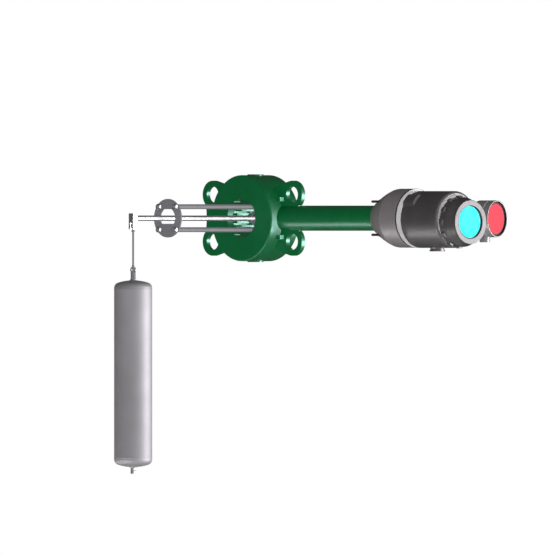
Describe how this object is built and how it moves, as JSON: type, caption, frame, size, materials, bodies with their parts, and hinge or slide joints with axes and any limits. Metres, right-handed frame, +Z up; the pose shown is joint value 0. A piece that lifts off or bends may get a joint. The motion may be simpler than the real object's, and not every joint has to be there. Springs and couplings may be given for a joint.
{
  "type": "displacer level sensor",
  "caption": "Torque-tube displacer level sensor: wafer body clamped between pipe flanges, hanging displacer on a caged rod, and an instrument head on a long arm.",
  "frame": {"origin": "middle of the wafer body, where the torque tube axis crosses the axis of the bore", "axes": "+X along the torque tube from the body to the head, -Y along the displacer rod, +Z up"},
  "size_m": [0.7132, 0.5105, 0.5734],
  "materials": {
    "green_paint": "satin",
    "stainless": "satin",
    "zinc_hardware": "satin",
    "head_paint": "satin",
    "bearing_bronze": "satin",
    "gasket_rubber": "matte",
    "cover_glass": "gloss",
    "lcd": "gloss",
    "red_plastic": "gloss",
    "module_plastic": "matte",
    "terminal_plastic": "matte"
  },
  "bodies": {
    "root": {"access_plug": "head_paint", "adapter_gasket": "gasket_rubber", "adapter_nuts": "zinc_hardware", "adapter_studs": "zinc_hardware", "bearing_bracket": "green_paint", "bracket_screws": "zinc_hardware", "cage_end_nuts": "zinc_hardware", "cage_end_plate": "stainless", "cage_ring": "stainless", "cage_ring_nuts": "zinc_hardware", "cage_ring_screws": "zinc_hardware", "cage_rod_1": "stainless", "cage_rod_2": "stainless", "cage_rod_3": "stainless", "cage_rod_4": "stainless", "cover_seal": "gasket_rubber", "display_module": "lcd", "driver_bearing": "bearing_bronze", "electronics_module": "module_plastic", "main_housing": "head_paint", "mounting_adapter": "head_paint", "retainer_screws": "zinc_hardware", "sensor_probe": "stainless", "tap_plug_bottom": "zinc_hardware", "tap_plug_top": "zinc_hardware", "terminal_block": "terminal_plastic", "terminal_box": "head_paint", "terminal_screws": "zinc_hardware", "torque_tube": "stainless", "torque_tube_arm": "green_paint", "tube_gasket": "gasket_rubber", "tube_retainer": "stainless", "wafer_body": "green_paint"},
    "rod": {"rod_driver": "stainless", "displacer_rod": "stainless", "rod_set_screw": "zinc_hardware", "rod_end_screw": "zinc_hardware", "rotary_shaft": "stainless", "shaft_clamp": "stainless", "clamp_screw": "zinc_hardware", "magnet_arm": "stainless", "magnets": "zinc_hardware", "rod_end_block": "stainless", "upper_pin": "stainless"},
    "link": {"hanger_link": "stainless"},
    "displacer": {"displacer": "stainless", "displacer_stem": "stainless", "lower_pin": "stainless", "displacer_stub": "stainless"},
    "display_cover": {"display_cover": "head_paint", "display_glass": "cover_glass", "glass_ring": "head_paint"},
    "terminal_cover": {"terminal_cover": "head_paint", "red_disc": "red_plastic"}
  },
  "joints": [
    {"name": "rod_swing", "type": "hinge", "parent": "root", "child": "rod", "pos_m": [0, 0, 0], "axis": [-1, 0, 0], "range_deg": [-1.2, 2.95], "stiffness_Nm_per_rad": 107, "springref_deg": 4.06},
    {"name": "link_swing", "type": "hinge", "parent": "rod", "child": "link", "pos_m": [0, -0.3285, -0.015], "axis": [1, 0, 0], "range_deg": [-12, 12]},
    {"name": "displacer_swing", "type": "hinge", "parent": "link", "child": "displacer", "pos_m": [0, -0.3285, -0.099], "axis": [0, 1, 0], "range_deg": [-12, 12]},
    {"name": "display_cover_turn", "type": "hinge", "parent": "root", "child": "display_cover", "pos_m": [0.5606, 0.01, -0.0073], "axis": [1, 0, 0], "continuous": true},
    {"name": "terminal_cover_turn", "type": "hinge", "parent": "root", "child": "terminal_cover", "pos_m": [0.548, 0.111, -0.0012], "axis": [0.9744, 0.225, 0], "continuous": true}
  ]
}
